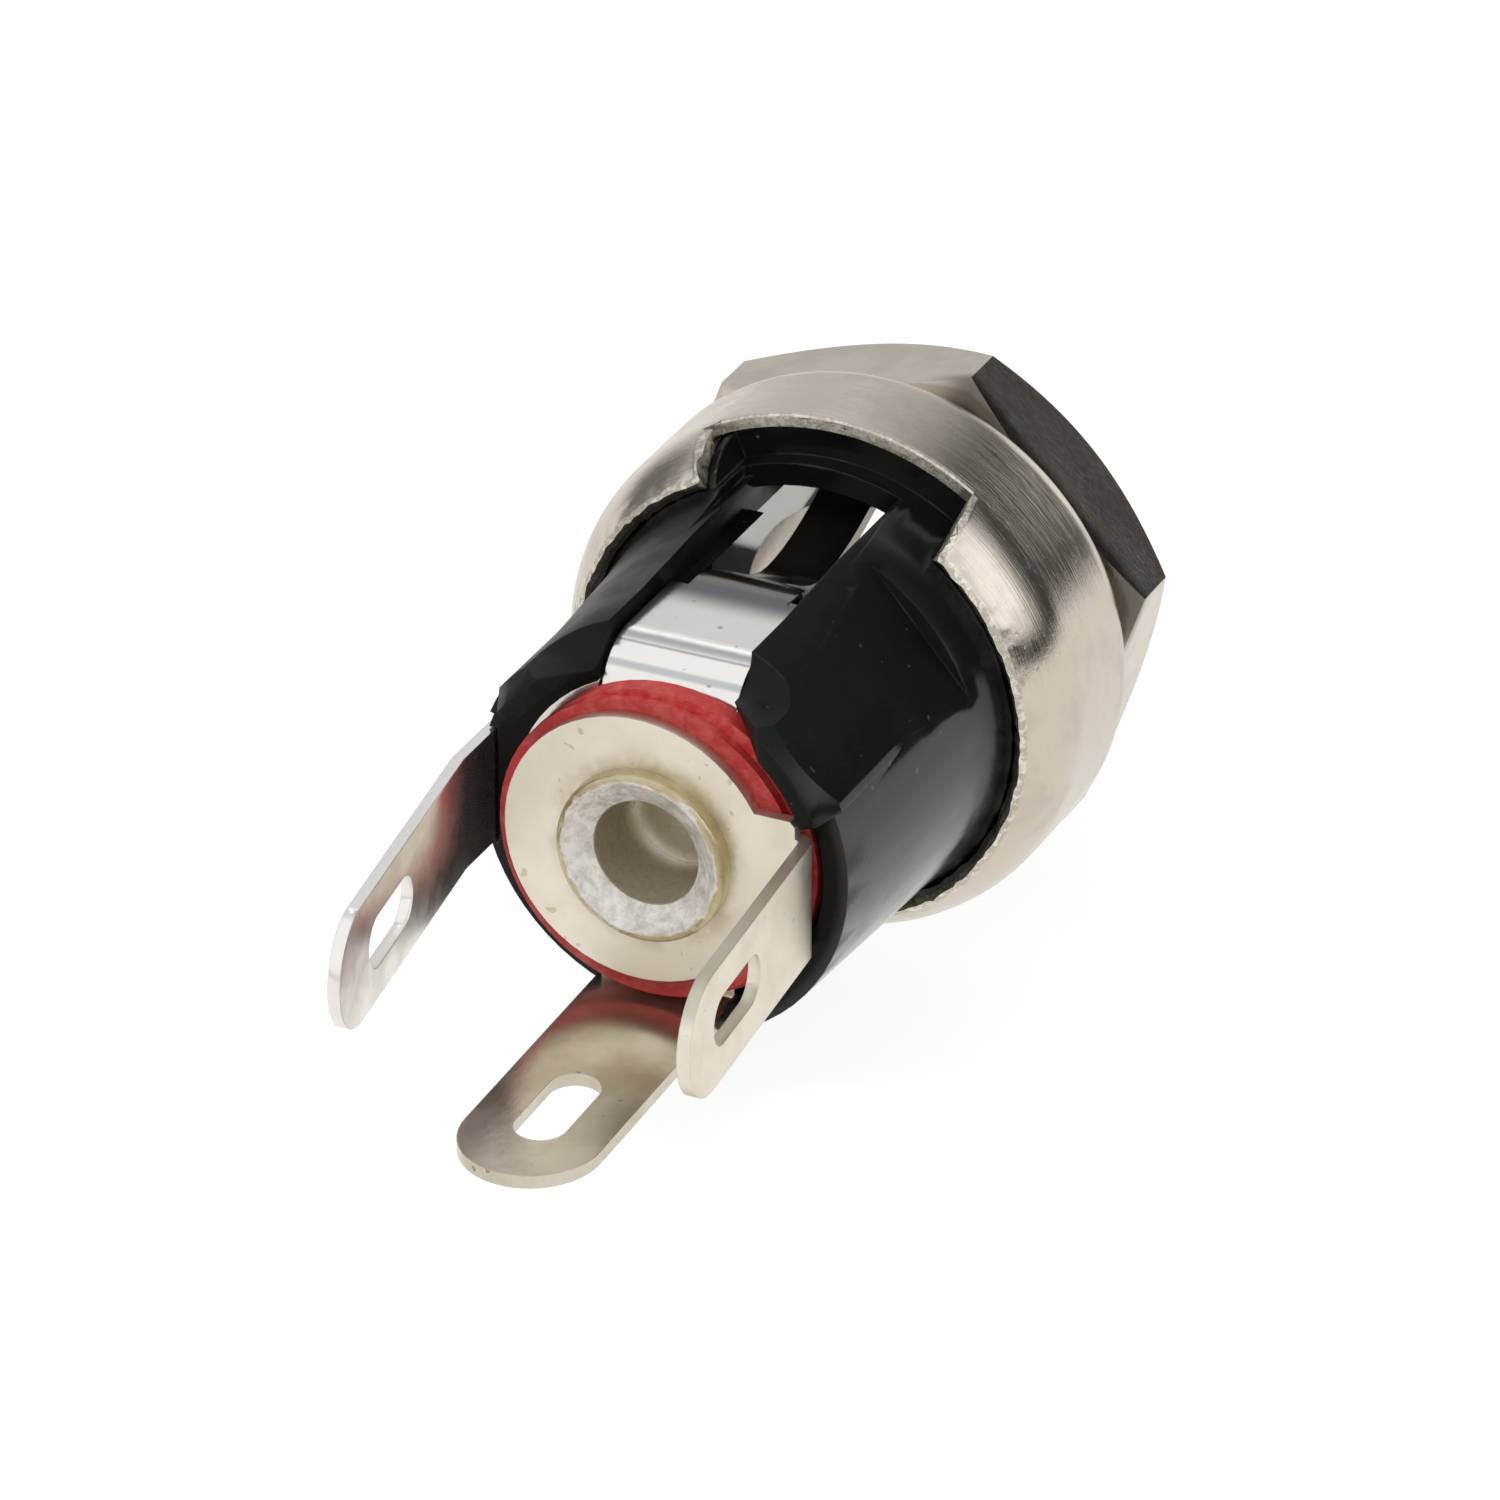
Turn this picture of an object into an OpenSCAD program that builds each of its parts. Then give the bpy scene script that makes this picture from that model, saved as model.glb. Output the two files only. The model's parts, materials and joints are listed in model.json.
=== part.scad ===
// Panel-mount dc barrel jack with three solder lugs.
// The jack's axis is Y: the plug goes in from +Y and the solder lugs point to -Y. Z is up, through the
// open channel over the spring. Y = 0 is the shell's front face, which seats against the panel.
// "depth" is measured from that face towards the lugs, so a depth of 3 lies at Y = -3.
// Angles are seen from the lug end, from +X towards +Z.

/* [Threaded bushing] */
// Diameter over the thread
thread_d = 8; // [7.8:0.1:8.6]
// Height of the thread from its pitch line to its crest
thread_crest = 0.2; // [0.1:0.05:0.3]
// Length of the bushing in front of the shell
thread_len = 4.3; // [4:0.1:6]
// Diameter of the bore that the plug goes into
bore_d = 6.2; // [5.9:0.1:6.4]
// Chamfer at the bushing's front edge and at the mouth of its bore
mouth_chamfer = 0.3; // [0.1:0.05:0.4]

/* [Crimped shell] */
// Outer diameter of the shell
shell_d = 12.4; // [12:0.1:13.5]
// Thickness of the shell's side wall and crimped lip
shell_wall = 0.3; // [0.26:0.02:0.4]
// Thickness of the shell's front wall
front_wall = 0.9; // [0.7:0.1:1.4]
// Radius of the shell's front edge
shell_edge_r = 0.9; // [0.4:0.1:1]
// Depth at which the straight side wall ends and the crimp begins
rim_depth = 3.1; // [2.6:0.1:3.6]
// Rounding of the rim's outer edge in the notch
rim_round = 0.24; // [0.1:0.02:0.24]
// Outer radius of the crimp's bend, seen from the side
crimp_r = 2.44; // [2:0.02:2.8]
// Angle that the crimp is bent through
crimp_angle = 46; // [35:1:50]
// Angle where the uncrimped notch starts
notch_from = 52; // [40:1:65]
// Angle where the uncrimped notch ends
notch_to = 114; // [105:1:125]

/* [Hexagonal nut] */
// Size across the flats
nut_af = 11; // [10:0.1:12]
// Height of the nut
nut_h = 2.45; // [1.8:0.05:3.5]
// Diameter of the flat face left by the chamfer on the shell side
nut_seat_d = 11; // [10.6:0.1:11.6]
// Angle of the chamfer on the shell side
nut_rear_angle = 25; // [15:1:35]
// Angle of the chamfer on the front side
nut_front_angle = 45; // [30:1:50]
// Diameter of the flat face left by the chamfer on the front side
nut_front_d = 11; // [10.6:0.1:11.6]
// Angle of one of the nut's corners
nut_turn = 13; // [0:1:60]

/* [Housing] */
// Gap between the housing and the shell
housing_gap = 0.05; // [0.02:0.01:0.1]
// Radius of the hollow inside the housing
hollow_r = 4.02; // [4:0.01:4.15]
// Depth of the collar's rear edge
collar_depth = 5; // [4.9:0.1:5.4]
// Radius of the collar's rear edge
collar_r = 5.08; // [4.98:0.02:5.14]
// Depth where the tapered tube starts
tube_depth = 5.9; // [5.6:0.1:6.4]
// Radius of the tube where it starts
tube_front_r = 4.95; // [4.88:0.01:4.97]
// Radius of the tube at its rear end
tube_rear_r = 4.6; // [4.5:0.01:4.75]
// Depth of the seat that the contact's plate lies on
seat_depth = 11.2; // [10.6:0.1:12]
// Thickness of the housing's rear wall
rear_wall = 1; // [0.6:0.1:1.6]
// Length of the ears behind the seat
ear_len = 1.5; // [1.2:0.05:2]
// Angle of the taper at the ears' rear ends
ear_taper = 28; // [20:1:40]
// Radius of the ears' tips, behind the taper
ear_tip_r = 4.43; // [4.3:0.01:4.6]
// Chamfer of each ear's inner corner, beside the arm
ear_chamfer = 1.05; // [0.4:0.05:1.1]
// Length of the right-hand skirt behind the seat, below the ear
skirt_len = 0.95; // [0.6:0.05:0.98]
// Radius of the ears' round backs
ear_r = 4.78; // [4.75:0.01:4.88]
// Distance from the axis to the flat on the right-hand ear
ear_flat = 4.6; // [4.55:0.01:4.68]
// Angle that this flat faces
ear_flat_angle = 41; // [38:1:44]
// Width of the channel over the spring
channel_w = 3.4; // [3.3:0.05:3.7]
// Depth where the window over the spring starts
window_depth = 3.5; // [3.3:0.1:4]
// Radius of the groove's ceiling in front of the window
groove_r = 4.65; // [4.5:0.01:4.7]
// Angle where each ear starts, over the side
ear_from = 22; // [19:1:25]
// Depth of the front of the scoop across both ears
scoop_depth = 10.8; // [10.4:0.1:11.2]
// Height of the scoop's floor over the axis
scoop_floor = 3.66; // [3.5:0.02:3.9]
// Radius in the scoop's front corner
scoop_r = 0.8; // [0.3:0.05:1.2]
// Angle where the left-hand ear ends and the opening behind the seat starts
open_from = 142; // [138:1:150]
// Depth of the flange's rear face inside the notch
notch_depth = 3; // [2.6:0.05:3.1]
// Radius of the arch's outer step over the window
arch_outer_r = 5.19; // [5.1:0.01:5.2]
// Radius of the arch's inner step over the window
arch_inner_r = 4.92; // [4.8:0.01:5]
// Width of the arch past each side of the channel
arch_side = 0.25; // [0.1:0.05:0.4]

/* [Contacts] */
// Thickness of the contact sheet
sheet_t = 0.3; // [0.2:0.02:0.35]
// Radius of the sleeve contact's plate
plate_r = 3.72; // [3.6:0.01:3.9]
// Width of the spring arm in the channel
arm_w = 3.2; // [2.9:0.05:3.25]
// Width of the spring's tongue inside the housing
tongue_w = 2.4; // [1.6:0.1:2.6]
// Height of the arm's top over the axis
arm_top = 4.1; // [4.06:0.01:4.2]
// Radius of the arm's bend on to the plate
arm_bend_r = 1.4; // [1.1:0.05:1.5]
// Diameter of the plug that the spring presses on
plug_d = 5.5; // [5.3:0.05:5.6]
// Height of the lower lug's upper face under the axis
lug_b_drop = 3.86; // [3.7:0.02:3.9]
// Width of the lower lug
lug_b_w = 3.24; // [2.8:0.02:3.3]
// Outward splay of the lower lug in degrees
lug_b_splay = 1.8; // [0:0.2:6]
// Depth of the lower lug's tip
lug_b_tip = 19.8; // [17:0.1:22]
// Width of the left-hand lug
lug_a_w = 2.76; // [2.2:0.02:2.8]
// Distance from the axis to the left-hand lug's inner face where it leaves the housing
lug_a_x = 4.3; // [4.26:0.01:4.32]
// Inward lean of the left-hand lug in degrees
lug_a_lean = 8.2; // [0:0.2:9]
// Depth of the left-hand lug's tip
lug_a_tip = 20.9; // [18:0.1:23]
// Radius of the ring terminal
ring_r = 3.2; // [2.9:0.02:3.3]
// Distance from the axis to the right-hand lug's outer face at the fold
lug_c_x = 3.96; // [3.8:0.02:4.1]
// Height of the right-hand lug's upper edge
lug_c_high = 1.15; // [1:0.01:1.4]
// Height of the right-hand lug's lower edge
lug_c_low = -1.65; // [-2:0.01:-1.4]
// Outward splay of the right-hand lug in degrees
lug_c_splay = 4.7; // [0:0.1:8]
// Depth of the right-hand lug's tip
lug_c_tip = 19.9; // [18:0.1:22]
// Width of the wire slot in each lug
slot_w = 1.2; // [0.8:0.05:1.4]
// Length of the wire slot in each lug
slot_len = 2.8; // [2:0.1:3.2]
// Distance from the left-hand lug's tip to its slot
lug_a_margin = 1.9; // [1:0.05:2.2]
// Distance from the lower lug's tip to its slot
lug_b_margin = 1.45; // [1:0.05:2.2]
// Distance from the right-hand lug's tip to its slot
lug_c_margin = 1.45; // [1:0.05:2.2]

// Inside radius of the folds at the lugs
fold_r = 0.12; // [0.1:0.02:0.2]
// Depth where the arm narrows to its tongue
arm_front = 7.9; // [7.6:0.1:8.4]
// Depth where the tongue starts to dip from the arm
dip_depth = 7.5; // [7:0.1:7.6]
// Depth where the tongue presses on the plug
press_depth = 4.6; // [4:0.1:5.2]
// Depth of the tongue's front tip
tongue_tip = 1.5; // [1.2:0.1:2.4]
// Rise of the tongue's tip over the place where it presses
tongue_rise = 0.8; // [0.4:0.05:0.9]
// Gap around the shank in the sleeve contact's plate
plate_gap = 0.5; // [0.3:0.05:0.8]
// Height of the ring terminal's shoulder over the axis
tab_high = 1.55; // [1.4:0.01:2]
// Corner cut off the shoulder where the lug folds back
tab_corner = 0.12; // [0.05:0.01:0.2]
// Sideways offset of the ring terminal's outline
ring_offset = -0.23; // [-0.3:0.01:0]
// Depth of the switch finger's front end
finger_front = 4.5; // [3:0.1:6]
// Width of the switch finger
finger_w = 1.5; // [1:0.1:1.6]
// Depth where the switch finger steps out through the wall
step_depth = 7.7; // [7.4:0.1:8.2]
// Length of the switch finger's step
step_len = 1; // [0.8:0.1:1.3]

/* [Washers] */
// Radius of the front fibre washer
washer_front_r = 3.68; // [3.5:0.01:3.75]
// Sideways offset of the front fibre washer
washer_front_x = 0.15; // [-0.15:0.01:0.18]
// Radius of the holes in both washers, over the shank's
washer_play = 0.2; // [0.2:0.01:0.3]
// Thickness of the front fibre washer
washer_front_t = 0.48; // [0.3:0.01:0.7]
// Radius of the rear fibre washer
washer_rear_r = 3.6; // [3.3:0.01:3.7]
// Sideways and downward offset of the rear fibre washer
washer_rear_shift = 0.1; // [0:0.01:0.13]
// Thickness of the rear fibre washer
washer_rear_t = 0.25; // [0.15:0.01:0.5]

/* [Centre pin] */
// Diameter of the pin that the plug's inner contact takes
pin_d = 2.1; // [1.9:0.05:2.5]
// Distance from the panel face to the pin's front tip
pin_reach = 1.6; // [0.5:0.1:2.5]
// Radius of the riveted shank
shank_r = 1.66; // [1.5:0.01:1.75]
// Radius of the rolled rim behind the ring terminal
rim_r = 2.03; // [1.9:0.01:2.2]
// Height of the rolled rim
rim_h = 0.42; // [0.3:0.01:0.6]
// Radius of the hole in the rivet
rivet_hole_r = 1.245; // [1:0.005:1.3]
// Depth of the hole in the rivet, from the rolled rim
rivet_hole_len = 2.4; // [1.5:0.1:2.6]
// Radius of the shoulder inside the rear wall
shoulder_r = 2.6; // [2.2:0.05:3]
// Thickness of the shoulder inside the rear wall
shoulder_t = 0.6; // [0.4:0.05:1]
// Rounding of the pin's tip
tip_r = 0.7; // [0.3:0.05:0.9]
// Width of the bevel inside the rolled rim
bevel_w = 0.6; // [0.3:0.01:0.65]
// Depth of the bevel inside the rolled rim
bevel_h = 0.4; // [0.2:0.01:0.6]
// Rounding of the rolled rim's outer edge
roll_r = 0.16; // [0.05:0.01:0.16]

/* [Hidden] */
$fn = 96;
// Stretches in each arc, clearance between fitted pieces, how far a cut runs past the part, and the
// gap outside the switch finger
arc_steps = 10;
fit = 0.04;
reach = 30;
finger_gap = 0.12;

plate_back = seat_depth + sheet_t;
lug_b_root = sqrt(pow(plate_r, 2) - pow(lug_b_w / 2, 2)) - sheet_t;
washer_split = plate_back + washer_front_t;
ring_front = washer_split + washer_rear_t;
ring_back = ring_front + sheet_t;
ear_end = seat_depth + ear_len;
skirt_end = seat_depth + skirt_len;
wall_front = seat_depth - rear_wall;
corner_x = channel_w / 2 + ear_chamfer;
rim_back = ring_back + rim_h;
flange_r = shell_d / 2 - shell_wall - housing_gap;
crimp_x = shell_d / 2 - crimp_r;
shoulder_bend_r = crimp_r - shell_wall - housing_gap;
pitch_r = thread_d / 2 - thread_crest;
press_top = plug_d / 2 + sheet_t;
arm_low = arm_top - sheet_t;
bend_start = plate_back - arm_bend_r;
bend_low = arm_top - arm_bend_r;
rim_front = rim_depth - rim_round;
finger_x = hollow_r - sheet_t - finger_gap;
lug_c_mid = (lug_c_high + lug_c_low) / 2;
lug_c_w = lug_c_high - lug_c_low;
lug_c_inner = lug_c_x - sheet_t;
tab_end = lug_c_inner - fold_r;

// Points on an arc about [cx, cy], from angle a0 to angle a1.
function arc(cx, cy, r, a0, a1) =
    [for (i = [0:arc_steps]) let (a = a0 + (a1 - a0) * i / arc_steps) [cx + r * cos(a), cy + r * sin(a)]];

// Unit vector from p to q.
function unit(p, q) = (q - p) / norm(q - p);

// Direction of a path at point i, averaged over the two stretches that meet there.
function heading(path, i) =
    i == 0 ? unit(path[0], path[1]) :
    i == len(path) - 1 ? unit(path[i - 1], path[i]) :
    let (d = unit(path[i - 1], path[i]) + unit(path[i], path[i + 1])) d / norm(d);

// Outline of a strip of sheet: the path is one face, and the other lies t to its right.
function strip(path, t) = concat(path, [
    for (i = [len(path) - 1:-1:0]) let (d = heading(path, i)) path[i] + t * [d[1], -d[0]]]);

// A turned piece: the profile's points are [radius, depth].
module turned() {
    rotate([90, 0, 0]) rotate_extrude() children();
}

// A flat outline in X and Z, extruded from one depth back by t.
module slab(depth, t) {
    translate([0, -depth, 0]) rotate([90, 0, 0]) linear_extrude(t) children();
}

// An outline in depth and Z, extruded w wide about the middle.
module across(w) {
    rotate([90, 0, -90]) translate([0, 0, -w / 2]) linear_extrude(w) children();
}

// An outline in X and depth, extruded between two heights.
module upright(low, high) {
    rotate([180, 0, 0]) translate([0, 0, -high]) linear_extrude(high - low) children();
}

// A wedge of a circle between two angles.
module wedge(r, a0, a1) {
    polygon(concat([[0, 0]], arc(0, 0, r, a0, a1)));
}

// A lug's outline: x is across it and y runs to its round tip, with the wire slot cut out.
module lug_outline(w, from, tip, margin) {
    difference() {
        union() {
            translate([-w / 2, from]) square([w, tip - w / 2 - from]);
            translate([0, tip - w / 2]) circle(w / 2);
        }
        slot_outline(tip - margin);
    }
}

// The wire slot, with round ends, up to the given distance along the lug.
module slot_outline(end) {
    far = end - slot_w / 2;
    near = far - slot_len + slot_w;
    translate([-slot_w / 2, near]) square([slot_w, far - near]);
    translate([0, far]) circle(slot_w / 2);
    translate([0, near]) circle(slot_w / 2);
}

// Nickel-plated bushing and cup, in one piece, with its rear rim crimped inwards except at the notch.
module bushing_shell() color("#a9a294") {
    turned() polygon(concat(
        [[bore_d / 2, mouth_chamfer - thread_len], [bore_d / 2 + mouth_chamfer, -thread_len],
         [thread_d / 2 - mouth_chamfer, -thread_len], [thread_d / 2, mouth_chamfer - thread_len],
         [thread_d / 2, -nut_h], [pitch_r, -nut_h], [pitch_r, 0]],
        arc(shell_d / 2 - shell_edge_r, shell_edge_r, shell_edge_r, -90, 0),
        arc(shell_d / 2 - rim_round, rim_front, rim_round, 0, 90),
        [[shell_d / 2 - shell_wall, rim_depth], [shell_d / 2 - shell_wall, front_wall],
         [bore_d / 2, front_wall]]));
    difference() {
        turned() polygon(concat(
            [[shell_d / 2 - shell_wall, rim_front], [shell_d / 2, rim_front]],
            arc(crimp_x, rim_depth, crimp_r, 0, crimp_angle),
            arc(crimp_x, rim_depth, crimp_r - shell_wall, crimp_angle, 0)));
        slab(rim_front, reach) wedge(shell_d, notch_from, notch_to);
    }
}

// Panel nut, seated on the shell. Its bore is drawn at the thread's pitch line.
module hex_nut() color("#9d9a92") difference() {
    intersection() {
        slab(-nut_h, nut_h) rotate(nut_turn) circle(nut_af / 2 / cos(30), $fn = 6);
        turned() polygon([
            [0, 0], [nut_seat_d / 2, 0],
            [nut_seat_d / 2 + nut_h / 2 / tan(nut_rear_angle), -nut_h / 2],
            [nut_front_d / 2 + nut_h / 2 / tan(nut_front_angle), -nut_h / 2],
            [nut_front_d / 2, -nut_h], [0, -nut_h]]);
    }
    slab(-reach, 2 * reach) circle(pitch_r + fit);
}

// Black housing: flange in the shell, collar, tapered tube with ears, rear wall and skirts.
module housing() color("#1c1b1a") difference() {
    union() {
        turned() polygon(concat(
            [[0, front_wall], [flange_r, front_wall]],
            arc(crimp_x, rim_depth, shoulder_bend_r, 0, crimp_angle),
            [[collar_r, collar_depth], [tube_front_r, tube_depth], [tube_rear_r, ear_end], [0, ear_end]]));
        for (side = [0, 1])
            mirror([side, 0, 0]) slab(tube_depth, ear_end - tube_depth) intersection() {
                circle(ear_r);
                wedge(reach, ear_from, 90);
            }
    }
    slab(tube_depth, reach) rotate(ear_flat_angle) translate([ear_flat, -ear_r]) square(2 * ear_r);
    turned() polygon([[ear_tip_r, ear_end], [ear_tip_r + reach * tan(ear_taper), ear_end - reach],
                      [2 * reach, ear_end - reach], [2 * reach, 2 * reach], [ear_tip_r, 2 * reach]]);

    // hollow in front of the rear wall, the recess behind it and the hole for the shank
    slab(0, wall_front) circle(hollow_r);
    slab(seat_depth, reach) circle(hollow_r);
    slab(0, reach) circle(shank_r + fit);

    // groove for the tongue, then the window and the channel
    slab(0, window_depth) intersection() {
        circle(groove_r);
        translate([-channel_w / 2, 0]) square([channel_w, reach]);
    }
    slab(window_depth, reach) translate([-channel_w / 2, arm_low - fit]) square([channel_w, reach]);
    slab(bend_start, reach) translate([-channel_w / 2, bend_low]) square([channel_w, reach]);

    // stepped arch in the shell's notch
    slab(notch_depth, crimp_r) difference() {
        wedge(reach, notch_from, notch_to);
        circle(arch_outer_r);
    }
    slab(window_depth, reach) difference() {
        translate([-channel_w / 2 - arch_side, 0]) square([channel_w + 2 * arch_side, reach]);
        circle(arch_inner_r);
    }

    // scoop across the ears, beside the arm's bend
    across(reach) polygon(concat(
        [[reach, scoop_floor]],
        arc(scoop_depth + scoop_r, scoop_floor + scoop_r, scoop_r, 270, 180),
        [[scoop_depth, reach], [reach, reach]]));
    upright(bend_low, reach) polygon([
        [-corner_x, reach], [-corner_x, ear_end], [-channel_w / 2, ear_end - ear_chamfer],
        [channel_w / 2, ear_end - ear_chamfer], [corner_x, ear_end], [corner_x, reach]]);

    // right-hand skirt, and the opening from the left-hand ear round to the lower lug's right-hand side
    slab(skirt_end, reach) wedge(reach, -90, ear_from);
    slab(seat_depth, reach) {
        wedge(reach, open_from, 270);
        translate([0, -reach]) square([lug_b_w / 2 + fit, reach]);
    }

    // way out for the left-hand lug, and the recess it lies in
    slab(step_depth - fit, step_len + 2 * fit) translate([-reach, -lug_a_w / 2 - fit])
        square([reach - finger_x + sheet_t, lug_a_w + 2 * fit]);
    slab(step_depth, reach) translate([-reach - lug_a_x + fit, -lug_a_w / 2 - fit])
        square([reach, lug_a_w + 2 * fit]);
}

// Bright sprung contact: tongue, arm, bend, plate and lower lug, folded from one sheet.
module sleeve_contact() color("#d9d6cc") {
    tongue = [for (i = [0:arc_steps]) let (t = i / arc_steps)
        [tongue_tip + (press_depth - tongue_tip) * t, press_top + tongue_rise * (1 - cos(90 * (1 - t)))]];
    dip = [for (i = [1:arc_steps]) let (t = i / arc_steps)
        [press_depth + (dip_depth - press_depth) * t,
         press_top + (arm_top - press_top) * (1 - cos(180 * t)) / 2]];
    bend = arc(bend_start, bend_low, arm_bend_r, 90, 0);
    intersection() {
        across(arm_w) polygon(strip(concat(tongue, dip, bend, [[plate_back, bend_low - sheet_t]]), sheet_t));
        upright(0, reach) {
            translate([-tongue_w / 2, 0]) square([tongue_w, arm_front]);
            translate([-arm_w / 2, arm_front]) square([arm_w, reach]);
        }
    }
    fold = arc(plate_back + fold_r, fold_r - lug_b_drop, fold_r, 180, 270);
    lug = lug_b_tip - plate_back - fold_r;
    intersection() {
        across(lug_b_w) polygon(strip(concat([[plate_back, -lug_b_root]], fold,
            [[lug_b_tip, -lug_b_drop - lug * tan(lug_b_splay)]]), sheet_t));
        upright(-reach, 0) lug_outline(lug_b_w, seat_depth, lug_b_tip, lug_b_margin);
    }
    slab(seat_depth, sheet_t) difference() {
        circle(plate_r);
        circle(shank_r + plate_gap);
        translate([-arm_w / 2 - fit, bend_low]) square([arm_w + 2 * fit, reach]);
        translate([-lug_b_w / 2 - fit, -reach - lug_b_drop + fold_r]) square([lug_b_w + 2 * fit, reach]);
    }
}

// Ring terminal under the rivet, with the right-hand lug folded back from its tab.
module pin_terminal() color("#e9e1cb") {
    slab(ring_front, sheet_t) difference() {
        union() {
            translate([ring_offset, 0]) circle(ring_r);
            polygon([[0, tab_high], [tab_end - tab_corner, tab_high], [tab_end, tab_high - tab_corner],
                     [tab_end, lug_c_low], [0, lug_c_low]]);
        }
        circle(shank_r + fit);
    }
    fold = arc(tab_end, ring_back + fold_r, fold_r, -90, 0);
    lug = lug_c_tip - ring_back - fold_r;
    intersection() {
        upright(lug_c_low, lug_c_high) polygon(strip(concat([[ring_r, ring_back]], fold,
            [[lug_c_inner + lug * tan(lug_c_splay), lug_c_tip]]), sheet_t));
        across(reach) mirror([1, -1, 0]) translate([lug_c_mid, 0])
            lug_outline(lug_c_w, ring_front, lug_c_tip, lug_c_margin);
    }
}

// Left-hand lug: out through the wall from the switch finger inside, then leaning in behind the housing.
module shunt_contact() color("#d6cfbc") {
    lean = (lug_a_tip - ear_end) * tan(lug_a_lean);
    intersection() {
        upright(-lug_a_w / 2, lug_a_w / 2) polygon(strip([
            [-finger_x, finger_front], [-finger_x, step_depth], [-lug_a_x, step_depth + step_len],
            [-lug_a_x, ear_end], [lean - lug_a_x, lug_a_tip]], -sheet_t));
        across(reach) mirror([1, -1, 0]) union() {
            lug_outline(lug_a_w, step_depth + fit, lug_a_tip, lug_a_margin);
            translate([-finger_w / 2, 0]) square([finger_w, step_depth + step_len]);
        }
    }
}

// A fibre washer: it lies loose round the shank, at its own offset.
module washer(depth, t, r, x, z) {
    slab(depth, t) translate([x, z]) difference() {
        circle(r);
        circle(shank_r + washer_play);
    }
}

// Front fibre washer, on the sleeve contact's plate.
module front_fibre_washer() color("#a63a37")
    washer(plate_back, washer_front_t, washer_front_r, washer_front_x, 0);

// Rear fibre washer, under the ring terminal.
module rear_fibre_washer() color("#9a2f28")
    washer(washer_split, washer_rear_t, washer_rear_r, -washer_rear_shift, -washer_rear_shift);

// Contact pin with its shoulder, and the hollow shank riveted over the ring terminal.
module centre_pin() color("#a89767") turned() polygon(concat(
    [[0, -pin_reach]],
    arc(pin_d / 2 - tip_r, tip_r - pin_reach, tip_r, -90, 0),
    [[pin_d / 2, wall_front - shoulder_t], [shoulder_r, wall_front - shoulder_t], [shoulder_r, wall_front],
     [shank_r, wall_front], [shank_r, ring_back], [rim_r, ring_back]],
    arc(rim_r - roll_r, rim_back - roll_r, roll_r, 0, 90),
    [[rivet_hole_r + bevel_w, rim_back], [rivet_hole_r, rim_back - bevel_h],
     [rivet_hole_r, rim_back - rivet_hole_len], [0, rim_back - rivet_hole_len]]));

bushing_shell();
hex_nut();
housing();
centre_pin();
pin_terminal();
rear_fibre_washer();
front_fibre_washer();
sleeve_contact();
shunt_contact();
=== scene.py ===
import json
import math

import bmesh
import bpy
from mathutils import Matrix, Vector, noise

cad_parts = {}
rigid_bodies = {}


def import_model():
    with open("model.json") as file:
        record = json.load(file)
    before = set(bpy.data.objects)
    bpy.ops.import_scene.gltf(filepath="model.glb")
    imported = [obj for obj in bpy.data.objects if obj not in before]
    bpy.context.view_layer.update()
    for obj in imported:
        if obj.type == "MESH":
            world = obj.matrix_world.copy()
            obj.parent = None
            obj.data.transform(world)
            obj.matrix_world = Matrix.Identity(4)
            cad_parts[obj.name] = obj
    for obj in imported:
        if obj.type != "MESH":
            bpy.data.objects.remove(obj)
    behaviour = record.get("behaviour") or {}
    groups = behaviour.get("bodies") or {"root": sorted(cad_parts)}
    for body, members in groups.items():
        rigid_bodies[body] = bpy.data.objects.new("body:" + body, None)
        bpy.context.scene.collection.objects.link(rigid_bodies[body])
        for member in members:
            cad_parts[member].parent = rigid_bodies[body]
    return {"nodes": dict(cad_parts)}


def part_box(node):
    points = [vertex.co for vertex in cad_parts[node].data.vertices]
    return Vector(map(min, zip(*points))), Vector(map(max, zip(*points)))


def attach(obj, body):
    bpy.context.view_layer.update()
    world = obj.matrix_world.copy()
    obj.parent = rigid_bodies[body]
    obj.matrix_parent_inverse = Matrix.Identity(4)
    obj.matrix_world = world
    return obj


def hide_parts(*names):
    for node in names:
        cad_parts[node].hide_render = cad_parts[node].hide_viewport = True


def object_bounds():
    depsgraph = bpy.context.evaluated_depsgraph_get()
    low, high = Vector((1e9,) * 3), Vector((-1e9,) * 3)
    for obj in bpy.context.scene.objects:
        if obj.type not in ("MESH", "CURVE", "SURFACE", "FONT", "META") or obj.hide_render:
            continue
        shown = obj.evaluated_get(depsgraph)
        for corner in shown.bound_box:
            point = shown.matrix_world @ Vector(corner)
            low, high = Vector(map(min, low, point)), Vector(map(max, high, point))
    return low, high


bl_info = {
    "name": "Panel-mount DC barrel jack",
    "version": (1, 0, 0),
    "blender": (4, 5, 0),
    "location": "3D View > Sidebar > Jack",
    "description": "Dresses the jack's turned, pressed and moulded pieces and sets up its studio",
    "category": "Object",
}

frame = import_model()
CAD_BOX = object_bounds()
SHELL_RADIUS, SHELL_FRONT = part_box("bushing_shell")[1].xy
NUT_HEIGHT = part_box("hex_nut")[1].y
MM = 0.001
SAME_PLACE = 1e-7       # vertices nearer to each other than this are merged
FULL_TURN = 2 * math.pi
BURR_SEED = 1           # keeps the burr the same each time


# ---------------------------------------------------------------- sizes and colours a user may change

def length(name, text, value, low=0.0, high=0.02):
    return bpy.props.FloatProperty(name=name, description=text, default=value, min=low, max=high,
                                   unit="LENGTH", precision=5)


def angle(name, text, degrees):
    return bpy.props.FloatProperty(name=name, description=text, default=math.radians(degrees), subtype="ANGLE")


def colour(name, text, rgb):
    return bpy.props.FloatVectorProperty(name=name, description=text, default=rgb, size=3, min=0, max=1,
                                         subtype="COLOR")


def share(name, text, value):
    return bpy.props.FloatProperty(name=name, description=text, default=value, min=0, max=1, subtype="FACTOR")


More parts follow.
